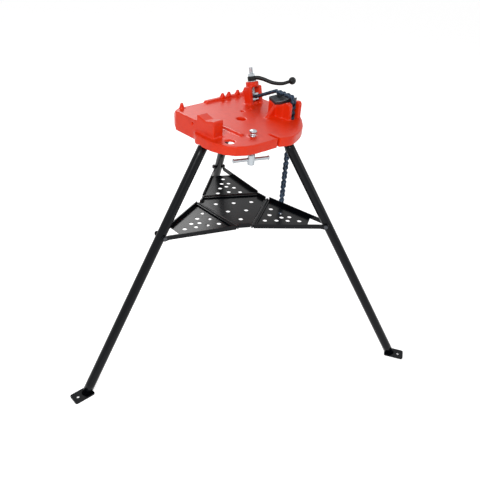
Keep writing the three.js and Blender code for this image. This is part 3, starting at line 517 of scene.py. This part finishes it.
def threaded(profile, origin, axis, start, end, hand=1, around=40):
    """A turned bar whose stretch from start to end carries a thread."""
    steps = np.arange(start, end, THREAD_PITCH / RINGS_PER_TURN)
    r = profile[len(profile) // 2][0]
    below = [p for p in profile if p[1] <= start]
    above = [p for p in profile if p[1] > end]
    body = below + [(r, d) for d in steps] + above
    return revolved(body, origin, axis, around, thread(THREAD_PITCH, THREAD_DEPTH, start, end, hand))


SCREW_CHAMFER = 2 * MM
THREAD_STOP = 2.2 * MM
SHOULDER = 0.1 * MM
# The screw leans, so its box ends a little above the middle of its tip.
TIP_LEAN = 1.2 * MM
JOURNAL_RADIUS, JOURNAL_LOW, JOURNAL_HIGH = 5 * MM, 2.5 * MM, 9.5 * MM
SCREW_RADIUS, TIP_RADIUS = 8 * MM, 6 * MM
THREAD_LOW = 12 * MM
screw_top = (np.array(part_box("chain_screw")[1]) - SCREW_FOOT)[2] / SCREW_AXIS[2] - TIP_LEAN
screw = threaded([(0, JOURNAL_LOW), (JOURNAL_RADIUS, JOURNAL_LOW), (JOURNAL_RADIUS, JOURNAL_HIGH),
                  (SCREW_RADIUS, JOURNAL_HIGH + SHOULDER), (SCREW_RADIUS, THREAD_LOW),
                  (SCREW_RADIUS, screw_top - SCREW_CHAMFER), (TIP_RADIUS, screw_top), (0, screw_top)],
                 SCREW_FOOT, SCREW_AXIS, THREAD_LOW, screw_top - THREAD_STOP, hand=-1)
dress(merged("threaded_chain_screw", [screw]), "chain_screw")
print("the vise screw is", round(screw_top / MM, 1), "mm long")

# %% [markdown]
# ## The crank
#
# The crank is a forging, an eye round the screw and an arm that dips and rises again, with a ball
# for the hand on its end. The arm could be a bevelled curve object. It is a round section swept along
# a smooth curve instead, `path(v) + R(v) * (n(v) cos u + b(v) sin u)`, because the radius can then
# taper towards the ball.

# %% Crank
HUB_MID = 92.1 * MM
ARM_ANGLE = math.radians(56.8)
ARM_PATH = np.array([[0, 0], [22, 1], [45, -6], [80, -22], [115, -28], [140, -24], [155, -21]]) * MM
SCREW_IN = np.cross(SCREW_AXIS, [1.0, 0, 0])
ARM_THICK, ARM_THIN = 8 * MM, 6 * MM
ARM_START = 12 * MM
EYE_HALF, EYE_RADIUS, EYE_BORE, EYE_EDGE = 8 * MM, 16 * MM, 8.3 * MM, 2 * MM
BALL_RADIUS = 14 * MM


def smooth_curve(points, count):
    """A Catmull-Rom curve through the points, sampled evenly in its parameter: cubics whose slope
    at a point is half the step between its neighbours."""
    p = np.vstack([2 * points[0] - points[1], points, 2 * points[-1] - points[-2]])
    s = np.linspace(0, len(points) - 1, count)
    i = np.minimum(s.astype(int), len(points) - 2)
    t = (s - i)[:, None]
    p0, p1, p2, p3 = p[i], p[i + 1], p[i + 2], p[i + 3]
    return 0.5 * (2 * p1 + (p2 - p0) * t + (2 * p0 - 5 * p1 + 4 * p2 - p3) * t ** 2
                  + (3 * p1 - p0 - 3 * p2 + p3) * t ** 3)


def swept(path, radius, side, around=28):
    """A round section swept along a path: path(v) + R(v)*(n cos u + b sin u), with n and b square
    to the path. side is a direction that the path never takes."""
    along = np.gradient(path, axis=0)
    along /= np.linalg.norm(along, axis=1)[:, None]
    n = np.cross(along, side)
    n /= np.linalg.norm(n, axis=1)[:, None]
    b = np.cross(along, n)
    u = np.linspace(0, 2 * np.pi, around, endpoint=False)
    ring = np.cos(u)[None, :, None] * n[:, None] + np.sin(u)[None, :, None] * b[:, None]
    points = path[:, None] + np.broadcast_to(radius, len(path))[:, None, None] * ring
    return points.reshape(-1, 3), tube_faces(len(path), around)


def ball(middle, radius, rings=24, around=36):
    """A sphere as a turned half circle, (R sin t, -R cos t)."""
    t = np.linspace(0, np.pi, rings)
    profile = np.column_stack([radius * np.sin(t), -radius * np.cos(t)])
    return revolved(profile, middle, (0, 0, 1), around)


arm_direction = np.array([1.0, 0, 0]) * math.cos(ARM_ANGLE) - SCREW_IN * math.sin(ARM_ANGLE)
hub_middle = SCREW_FOOT + SCREW_AXIS * HUB_MID
flat_path = smooth_curve(ARM_PATH, 60)
arm_path = hub_middle + flat_path[:, :1] * arm_direction + flat_path[:, 1:] * SCREW_AXIS
taper = np.linspace(ARM_THICK, ARM_THIN, len(arm_path))
side_of_arm = np.cross(arm_direction, SCREW_AXIS)
eye_profile = softened([(EYE_BORE, -EYE_HALF), (EYE_RADIUS, -EYE_HALF), (EYE_RADIUS, EYE_HALF),
                        (EYE_BORE, EYE_HALF)], EYE_EDGE)
hub = revolved(eye_profile, hub_middle, SCREW_AXIS, 48)
away = flat_path[:, 0] > ARM_START
arm = swept(arm_path[away], taper[away], side_of_arm)
dress(merged("forged_crank", [hub, arm]), "crank_handle")
dress(merged("crank_knob", [ball(centre("crank_ball"), BALL_RADIUS)]), "crank_ball")
print("the crank's ball is at", centre("crank_ball"))

# %% [markdown]
# ## Jaws
#
# Two hardened inserts are screwed to the seat and give the vise its grip. Their teeth could be cut
# one by one with a boolean. A formula is quicker and always closed: the tooth height is a triangle wave
# along X, `depth * |2 frac(x/pitch) - 1|`, taken off the CAD jaw's flat face.

# %% Jaws with teeth
TOOTH_PITCH = 5.0 * MM
TOOTH_DEPTH = 1.6 * MM
JAW_SLOPE = math.radians(20)
JAW_THICK = 10 * MM


def jaw(node, side):
    """A jaw block: a section in Y and Z carried along X, with its top lowered by the wave
    depth * |2 frac(x/pitch) - 1|."""
    low, high = (np.array(corner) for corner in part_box(node))
    slope = math.tan(JAW_SLOPE)
    thick = JAW_THICK / math.cos(JAW_SLOPE)
    x = np.arange(low[0], high[0] + 1e-9, TOOTH_PITCH / 4)
    wave = np.abs(2 * ((x - low[0]) / TOOTH_PITCH % 1) - 1) * TOOTH_DEPTH
    inner, outer = (low[1], high[1]) if side > 0 else (high[1], low[1])
    top_in = high[2] - abs(outer - inner) * slope
    section = np.array([[inner, top_in - thick], [outer, high[2] - thick], [outer, high[2]],
                        [inner, top_in]])
    if side < 0:
        section = section[::-1]
    biting = np.isclose(section[:, 1], high[2]) | np.isclose(section[:, 1], top_in)
    points = np.empty((len(x), 4, 3))
    points[..., 0] = x[:, None]
    points[..., 1] = section[None, :, 0]
    points[..., 2] = section[None, :, 1] - wave[:, None] * biting
    teeth = (points.reshape(-1, 3), tube_faces(len(x), 4))
    return dress(merged("toothed_" + node, [teeth], smooth=False), node)


jaw("jaw_far", 1)
jaw("jaw_near", -1)
print("two jaws with teeth", TOOTH_PITCH / MM, "mm apart")

# %% [markdown]
# ## The chain
#
# A plate chain does the clamping. It is pinned to the travelling nut, crosses the jaws, catches
# in the near fork and hangs down beside the leg. An array on a curve would bend its plates, so
# the pins are placed first, one pitch apart along a route of straight stretches, and a rigid
# plate is set between each pair. Each plate is a Cassini oval,
# `r^2 = a^2 cos 2u + sqrt(b^4 - a^4 sin^2 2u)`, which is waisted between its two eyes.

# %% Chain route
LINK_PITCH = 20 * MM
CHAIN_RIDE = 10.5 * MM
FAR_LEAD, FAR_DROP = 9 * MM, 1.5 * MM
NEAR_LEAD, NEAR_DROP = 6 * MM, 4 * MM
BEND_DROP = 14 * MM
RUN_LINKS = 15
TAIL_LINKS = 18
start_pin = centre("chain_nut_pin")
jaw_high = np.array(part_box("jaw_far")[1])
ride_height = jaw_high[2] + CHAIN_RIDE
tail_pin = np.array(JOINTS["tail_swing"]["pos_m"])
reach = jaw_high[1]
drop = tail_pin[1]
ROUTE = np.array([start_pin[1:], [reach + FAR_LEAD, ride_height - FAR_DROP], [reach, ride_height],
                  [-reach, ride_height], [drop + NEAR_LEAD, ride_height - NEAR_DROP],
                  [drop, ride_height - BEND_DROP], [drop, 0]])


def pins_along(route, pitch, count):
    """Pins one pitch apart: each is where a circle about the last one next meets the route."""
    pins, segment = [route[0]], 0
    while len(pins) < count:
        for i in range(segment, len(route) - 1):
            along = route[i + 1] - route[i]
            length = np.linalg.norm(along)
            along = along / length
            offset = route[i] - pins[-1]
            b = offset @ along
            root = b * b - offset @ offset + pitch * pitch
            step = -b + math.sqrt(max(root, 0))
            if root >= 0 and 0 <= step <= length:
                pins.append(route[i] + along * step)
                segment = i
                break
    return np.array(pins)


yz = pins_along(ROUTE, LINK_PITCH, RUN_LINKS + 1)
run_pins = np.column_stack([np.full(len(yz), start_pin[0]), yz])
tail_pins = tail_pin - np.outer(np.arange(TAIL_LINKS + 1), [0, 0, LINK_PITCH])
print(len(run_pins), "pins over the jaws and", len(tail_pins), "in the tail")


# %% [markdown]
# ## The chain's links
#
# An outer link is a pair of plates outside the inner link's pair, and a roller turns between the
# inner plates on every pin. Stamped plates have slightly rounded edges. A bevel modifier would
# make every plate heavy, so an edge is rounded by shrinking the outline near both faces.

# %% Chain links
PLATE_SPANS = {"outer": (5.9 * MM, 9.6 * MM), "inner": (2.2 * MM, 5.6 * MM)}
ROLLER_RADIUS, ROLLER_EDGE = 5.4 * MM, 0.4 * MM
PIN_RADIUS, PIN_HALF, PIN_EDGE = 3 * MM, 13 * MM, 1.2 * MM
PLATE_WAIST = 0.6
PLATE_REACH = 17.5 * MM
EDGE_STEP = 0.35 * MM
EDGE_SCALE = np.array([0.93, 0.98, 1.0, 1.0, 0.98, 0.93])
ALONG_PINS = np.array([1.0, 0, 0])


def plate(from_pin, to_pin, x0, x1, around=40):
    """One waisted plate between two pins: its oval outline r(u), carried from x0 to x1 along the
    pins and shrunk near both faces."""
    a = PLATE_WAIST * LINK_PITCH
    b2 = PLATE_REACH ** 2 - a ** 2
    u = np.linspace(0, 2 * np.pi, around, endpoint=False)
    r = np.sqrt(a ** 2 * np.cos(2 * u) + np.sqrt(b2 ** 2 - (a ** 2 * np.sin(2 * u)) ** 2))
    along = (to_pin - from_pin) / np.linalg.norm(to_pin - from_pin)
    across = np.cross(ALONG_PINS, along)
    flat = (r * np.cos(u))[:, None] * along + (r * np.sin(u))[:, None] * across
    depth = np.array([x0, x0 + EDGE_STEP, x0 + EDGE, x1 - EDGE, x1 - EDGE_STEP, x1])
    outline = EDGE_SCALE[:, None, None] * flat[None]
    points = (from_pin + to_pin) / 2 + outline + depth[:, None, None] * ALONG_PINS
    return points.reshape(-1, 3), tube_faces(len(depth), around)


def chain(pins, first):
    """All plates, rollers and pins of a run that starts with an outer or inner link. The first
    pin belongs to the piece that the run hangs from."""
    pieces = []
    for i, (p, q) in enumerate(zip(pins, pins[1:])):
        kind = first if i % 2 == 0 else ("inner" if first == "outer" else "outer")
        low, high = PLATE_SPANS[kind]
        pieces += [plate(p, q, low, high), plate(p, q, -high, -low)]
        if kind == "inner":
            rim = softened([(0, -low), (ROLLER_RADIUS, -low), (ROLLER_RADIUS, low), (0, low)], ROLLER_EDGE)
            pieces += [revolved(rim, end, (1, 0, 0), 24) for end in (p, q)]
    profile = softened([(0, -PIN_HALF), (PIN_RADIUS, -PIN_HALF), (PIN_RADIUS, PIN_HALF), (0, PIN_HALF)],
                       PIN_EDGE)
    pieces += [revolved(profile, p, (1, 0, 0), 20) for p in pins[1:]]
    return pieces


dress(merged("clamp_chain", chain(run_pins, "outer")), "chain_run")
dress(merged("hanging_chain", chain(tail_pins, "inner")), "chain_tail")
print("links:", RUN_LINKS, "in the clamp run and", TAIL_LINKS, "in the tail")

# %% [markdown]
# ## The brace screw
#
# The brace screw is wound up against a ceiling to steady the stand. It has a hub for its sliding
# bar at the lower end and a domed cap that swivels on its tip. Both are turned profiles, like the
# bars, and the dome is a quarter of an ellipse, `(R cos t, h sin t)`.

# %% Brace screw
brace = np.array(JOINTS["brace_turn"]["pos_m"])
brace[2] = 0
hub_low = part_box("brace_screw")[0][2]
HUB_TOP = 794 * MM
HUB_RADIUS, HUB_EDGE = 13 * MM, 1.5 * MM
SHAFT_RADIUS = 10 * MM
PLAIN_END = 2 * MM
HUB_LAP = 1 * MM
CAP_GAP, CAP_BORE, CAP_WALL = 0.3 * MM, 5.3 * MM, 5 * MM
hub_profile = softened([(0, hub_low), (HUB_RADIUS, hub_low), (HUB_RADIUS, HUB_TOP),
                        (SHAFT_RADIUS, HUB_TOP)], HUB_EDGE)
cap_low, cap_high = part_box("brace_cap")
cap_radius = (cap_high[0] - cap_low[0]) / 2
shaft_top = cap_low[2] - CAP_GAP
thread_profile = [(SHAFT_RADIUS, HUB_TOP - HUB_LAP), (SHAFT_RADIUS, HUB_TOP + PLAIN_END),
                  (SHAFT_RADIUS, shaft_top - PLAIN_END), (SHAFT_RADIUS, shaft_top)]
shaft = threaded(thread_profile, brace, (0, 0, 1), HUB_TOP + PLAIN_END, shaft_top - PLAIN_END)
hub_piece = revolved(hub_profile, brace, (0, 0, 1), 40)
dress(merged("threaded_brace_screw", [hub_piece, shaft]), "brace_screw")
t = np.linspace(0, np.pi / 2, 12)
dome_low = cap_low[2] + CAP_WALL
dome = np.column_stack([cap_radius * np.cos(t), dome_low + (cap_high[2] - dome_low) * np.sin(t)])
cap_profile = np.vstack([[[CAP_BORE, cap_low[2]], [cap_radius - EDGE, cap_low[2]],
                          [cap_radius, cap_low[2] + EDGE]], dome])
dress(merged("swivel_cap", [revolved(cap_profile, brace, (0, 0, 1), 40)]), "brace_cap")
print("the brace screw ends at", round(shaft_top / MM, 1), "mm")

# %% [markdown]
# ## The floor
#
# The stand is shown on plain white paper. Stronger lamps would whiten a floor too, but they would
# bleach the enamel. So the floor and the world glow only where the camera, a mirror image or a
# look through glass meets them, and the stand's shadow still falls on the floor.

# %% Floor
FLOOR_HALF = 60.0
FLOOR_GLOW = 0.55
WORLD_LIGHT = 0.4
WORLD_SEEN = 1.0


def seen_strength(tree, lit, seen):
    """A strength that is lit for the light on the stand and seen where the camera, a mirror
    image or a look through glass meets it: lit + (seen - lit) * min(1, camera + glossy + through)."""
    rays = add_node(tree, "ShaderNodeLightPath")
    two = add_node(tree, "ShaderNodeMath", operation="ADD")
    three = add_node(tree, "ShaderNodeMath", operation="ADD", use_clamp=True)
    spread = add_node(tree, "ShaderNodeMapRange", {"To Min": lit, "To Max": seen})
    tree.links.new(rays.outputs["Is Camera Ray"], two.inputs[0])
    tree.links.new(rays.outputs["Is Glossy Ray"], two.inputs[1])
    tree.links.new(two.outputs["Value"], three.inputs[0])
    tree.links.new(rays.outputs["Is Transmission Ray"], three.inputs[1])
    tree.links.new(three.outputs["Value"], spread.inputs["Value"])
    return spread.outputs["Result"]


corners = np.array([[-1.0, -1, 0], [1, -1, 0], [1, 1, 0], [-1, 1, 0]]) * FLOOR_HALF
floor = mesh_object("floor", corners, [[0, 1, 2, 3]])
paper = material("white_paper", "#FFFFFF", 0.9, grain_mm=400, grain=0.02, bump=0.0)
glow = paper.node_tree.nodes["Principled BSDF"]
glow.inputs["Emission Color"].default_value = (1, 1, 1, 1)
paper.node_tree.links.new(seen_strength(paper.node_tree, 0.0, FLOOR_GLOW), glow.inputs["Emission Strength"])
floor.data.materials.append(paper)
print("floor", 2 * FLOOR_HALF, "m across")

# %% [markdown]
# ## The camera
#
# A camera can be aimed with a constraint, but that leaves its roll to chance. Its place, yaw,
# pitch and roll were fitted to the photograph instead, and its matrix is written out: the columns
# are its right, its up, the way back from what it sees, and its place.

# %% Camera
TRIPOD_X = np.mean([JOINTS[f"leg_fold_{side}"]["pos_m"][0] for side in SIDES])
CAMERA_AT = np.array([TRIPOD_X - 1.2113, -1.2336, 1.506])
CAMERA_LENS = 38.75
CAMERA_SENSOR = 36
CLOSEST_SEEN = 0.05
YAW, PITCH_DOWN, ROLL = (math.radians(angle) for angle in (44.719, -33.012, 4.121))
flat = math.cos(PITCH_DOWN)
forward = np.array([flat * math.cos(YAW), flat * math.sin(YAW), math.sin(PITCH_DOWN)])
level = np.array([math.sin(YAW), -math.cos(YAW), 0])
upward = np.cross(level, forward)
right = math.cos(ROLL) * level + math.sin(ROLL) * upward
above = -math.sin(ROLL) * level + math.cos(ROLL) * upward
camera = bpy.data.objects.new("camera", bpy.data.cameras.new("camera"))
camera.data.lens = CAMERA_LENS
camera.data.sensor_width = CAMERA_SENSOR
camera.data.clip_start = CLOSEST_SEEN
columns = np.column_stack([right, above, -forward, CAMERA_AT])
camera.matrix_world = Matrix(np.vstack([columns, [0, 0, 0, 1]]).tolist())
bpy.context.scene.collection.objects.link(camera)
bpy.context.scene.camera = camera
print("camera at", CAMERA_AT)


# %% [markdown]
# ## The lights
#
# Small lamps would throw hard shadows and pin-prick highlights. Three square panels give soft
# ones: a strong key over the camera's left shoulder, a weak fill from its right, and a rim light
# from behind. A pale world fills the rest, at a level where a colour shows about as it is written.

# %% Lights
def panel(name, place, size, power, target=(0.1, 0, 0.7)):
    """A square soft light that faces the stand."""
    lamp = bpy.data.lights.new(name, "AREA")
    lamp.energy = power
    lamp.size = size
    obj = bpy.data.objects.new(name, lamp)
    back = np.array(place, float) - np.array(target)
    a, b, c = basis(back)
    obj.matrix_world = Matrix(np.vstack([np.column_stack([a, b, c, place]), [0, 0, 0, 1]]).tolist())
    bpy.context.scene.collection.objects.link(obj)
    return obj


panel("key", (-2.6, -1.6, 3.2), 1.4, 75)
panel("fill", (1.8, -3.2, 2.0), 1.6, 14)
panel("rim", (1.6, 2.6, 2.8), 1.2, 30)
world = bpy.data.worlds.new("studio")
world.use_nodes = True
bpy.context.scene.world = world
sky = world.node_tree.nodes["Background"]
sky.inputs["Color"].default_value = (1, 1, 1, 1)
world.node_tree.links.new(seen_strength(world.node_tree, WORLD_LIGHT, WORLD_SEEN), sky.inputs["Strength"])

bpy.context.scene.view_settings.view_transform = "Standard"
print("three panels and a world of", WORLD_LIGHT)
